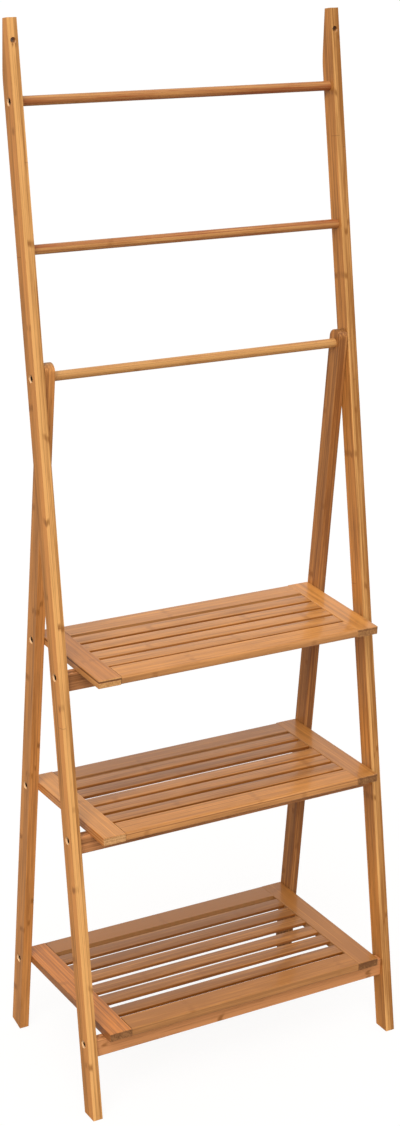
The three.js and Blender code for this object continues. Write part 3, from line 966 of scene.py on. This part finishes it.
# Each screw is aimed left or right and spun by chance, and its tail is drawn out to its shank's length
# The aim is 1 for the right side and -1 for the left, and the tail is 1 on the points that are drawn out
def screwTree(sizes):
    tree, size = newTree("screws", sizes)
    pattern = addNode(tree, "GeometryNodeObjectInfo", {}, {"Object": size["Screw"]}).outputs["Geometry"]
    aim = addNode(tree, "GeometryNodeInputNamedAttribute", {"data_type": "FLOAT"}, {"Name": "aim"})
    reach = addNode(tree, "GeometryNodeInputNamedAttribute", {"data_type": "FLOAT"}, {"Name": "reach"})
    tail = addNode(tree, "GeometryNodeInputNamedAttribute", {"data_type": "FLOAT"}, {"Name": "tail"})
    quarter = addNode(tree, "ShaderNodeMath", {"operation": "MULTIPLY"}, {0: aim, 1: math.pi / 2})
    spin = addNode(tree, "FunctionNodeRandomValue", {"data_type": "FLOAT"},
                   {"Max_001": math.pi, "Seed": size["Seed"]})
    turn = addNode(tree, "ShaderNodeCombineXYZ", {}, {1: quarter})
    placed = addNode(tree, "GeometryNodeInstanceOnPoints", {},
                     {"Points": size["Geometry"], "Instance": pattern, "Rotation": turn})
    spinTurn = addNode(tree, "ShaderNodeCombineXYZ", {}, {2: spin.outputs[1]})
    spun = addNode(tree, "GeometryNodeRotateInstances", {}, {"Instances": placed, "Rotation": spinTurn})
    real = addNode(tree, "GeometryNodeRealizeInstances", {}, {"Geometry": spun})
    pull = addNode(tree, "ShaderNodeMath", {"operation": "MULTIPLY"}, {0: reach, 1: tail})
    inward = addNode(tree, "ShaderNodeMath", {"operation": "MULTIPLY"}, {0: pull, 1: aim})
    offset = addNode(tree, "ShaderNodeVectorMath", {"operation": "SCALE"},
                     {0: addNode(tree, "ShaderNodeCombineXYZ", {}, {0: inward}), "Scale": -1})
    stretched = addNode(tree, "GeometryNodeSetPosition", {}, {"Geometry": real, "Offset": offset})
    dressed = addNode(tree, "GeometryNodeSetMaterial", {},
                      {"Geometry": stretched, "Material": size["Material"]})
    addNode(tree, "NodeGroupOutput", {}, {0: dressed})
    return tree


def makeScrews(body, pattern):
    names = [name for name in frame["record"]["behaviour"]["bodies"][body] if name.endswith("_screw")]
    points, aims, reaches = [], [], []
    for name in names:
        low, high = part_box(name)
        aim = 1 if high.x > 0 else -1
        centre = boxCentre(name)
        points.append((high.x if aim > 0 else low.x, centre.y, centre.z))
        aims.append(aim)
        reaches.append(high.x - low.x - screwPlan["headHeight"] - screwPlan["tipLength"])
    sizes = {"Screw": pattern, "Seed": screwPlan["seed"], "Material": materials["screw_steel"]}
    mesh = treeMesh(body + "_screws", screwTree(sizes), sizes, points, {"aim": aims, "reach": reaches})
    shadeByAngle(mesh, edgePlan["creaseDegrees"])
    finish(body + "_screws_steel", mesh, body, "screw_steel", names)


screwPattern = newObject("screw_pattern", screwMesh(screwPlan))
for body in ("front_frame", "rear_frame"):
    makeScrews(body, screwPattern)
bpy.data.objects.remove(screwPattern)
print("screws made")


# Floor and light: a pale floor, soft light from above and behind, and a wide key light from the front left
stagePlan = {
    "floorSize": 160,
    "floorHex": "#FFFEFD",
    "floorGlowShare": 0.92,
    "bounceHex": "#A59A8E",
    "backdropHex": "#FEFDFC",
    "lightHex": "#FFFFFF",
    "horizonStrength": 0.08,
    "overheadStrength": 0.95,
    "heightShares": (0.05, 0.8),  # how steep a ray is, where the light begins to grow and where it is full
    "rearStrength": 0.9,  # a lit white wall behind, which gives the shelves their sheen
    "rearShares": (0.45, 0.8),  # the same for how far to the rear a ray goes
    "keyDirection": (0.5, 0.6, -0.6),
    "keyStrength": 2.9,
    "keyDegrees": 55,
}


# Lit paper that glows, so that the rack's shadow stays faint, and that throws back a dim warm light
def makeFloor(plan):
    half = plan["floorSize"] / 2
    mesh = bpy.data.meshes.new("floor")
    corners = [(-half, -half, 0), (half, -half, 0), (half, half, 0), (-half, half, 0)]
    mesh.from_pydata(corners, [], [(0, 1, 2, 3)])
    material, tree = newMaterial("glowing_white_paper")
    paper = addNode(tree, "ShaderNodeBsdfDiffuse", {}, {"Color": linearColour(plan["floorHex"])})
    glow = addNode(tree, "ShaderNodeEmission", {}, {"Color": linearColour(plan["floorHex"])})
    seenPaper = addNode(tree, "ShaderNodeMixShader", {}, {0: plan["floorGlowShare"], 1: paper, 2: glow})
    bounce = addNode(tree, "ShaderNodeBsdfDiffuse", {}, {"Color": linearColour(plan["bounceHex"])})
    seen = addNode(tree, "ShaderNodeLightPath").outputs["Is Camera Ray"]
    shown = addNode(tree, "ShaderNodeMixShader", {}, {0: seen, 1: bounce, 2: seenPaper})
    addNode(tree, "ShaderNodeOutputMaterial", {}, {"Surface": shown})
    mesh.materials.append(material)
    newObject("floor", mesh)


def makeSun(name, direction, strength, degrees):
    data = bpy.data.lights.new(name, "SUN")
    data.energy = strength
    data.angle = math.radians(degrees)
    sun = newObject(name, data)
    sun.rotation_euler = Vector(direction).to_track_quat("-Z", "Y").to_euler()


# The light grows from the horizon to overhead and to the rear wall; the camera sees an even pale backdrop
def makeWorld(plan):
    world = bpy.data.worlds.new("studio")
    bpy.context.scene.world = world
    world.use_nodes = True
    tree = world.node_tree
    tree.nodes.clear()
    direction = addNode(tree, "ShaderNodeTexCoord").outputs["Generated"]
    depthShare, heightShare = addNode(tree, "ShaderNodeSeparateXYZ", {}, {0: direction}).outputs[1:]
    low, high = plan["heightShares"]
    above = addNode(tree, "ShaderNodeMapRange", {"interpolation_type": "SMOOTHSTEP"}, {
        "Value": heightShare,
        "From Min": low,
        "From Max": high,
        "To Min": plan["horizonStrength"],
        "To Max": plan["overheadStrength"],
    })
    near, far = plan["rearShares"]
    behind = addNode(tree, "ShaderNodeMapRange", {"interpolation_type": "SMOOTHSTEP"}, {
        "Value": depthShare, "From Min": near, "From Max": far, "To Max": plan["rearStrength"]})
    strength = addNode(tree, "ShaderNodeMath", {"operation": "MAXIMUM"}, {0: above, 1: behind})
    glow = addNode(tree, "ShaderNodeBackground", {},
                   {"Color": linearColour(plan["lightHex"]), "Strength": strength})
    backdrop = addNode(tree, "ShaderNodeBackground", {},
                       {"Color": linearColour(plan["backdropHex"]), "Strength": 1})
    seen = addNode(tree, "ShaderNodeLightPath").outputs["Is Camera Ray"]
    shown = addNode(tree, "ShaderNodeMixShader", {}, {0: seen, 1: glow, 2: backdrop})
    addNode(tree, "ShaderNodeOutputWorld", {}, {"Surface": shown})


makeFloor(stagePlan)
makeWorld(stagePlan)
makeSun("key", stagePlan["keyDirection"], stagePlan["keyStrength"], stagePlan["keyDegrees"])
bpy.context.scene.view_settings.view_transform = "Standard"
print("floor and light made")
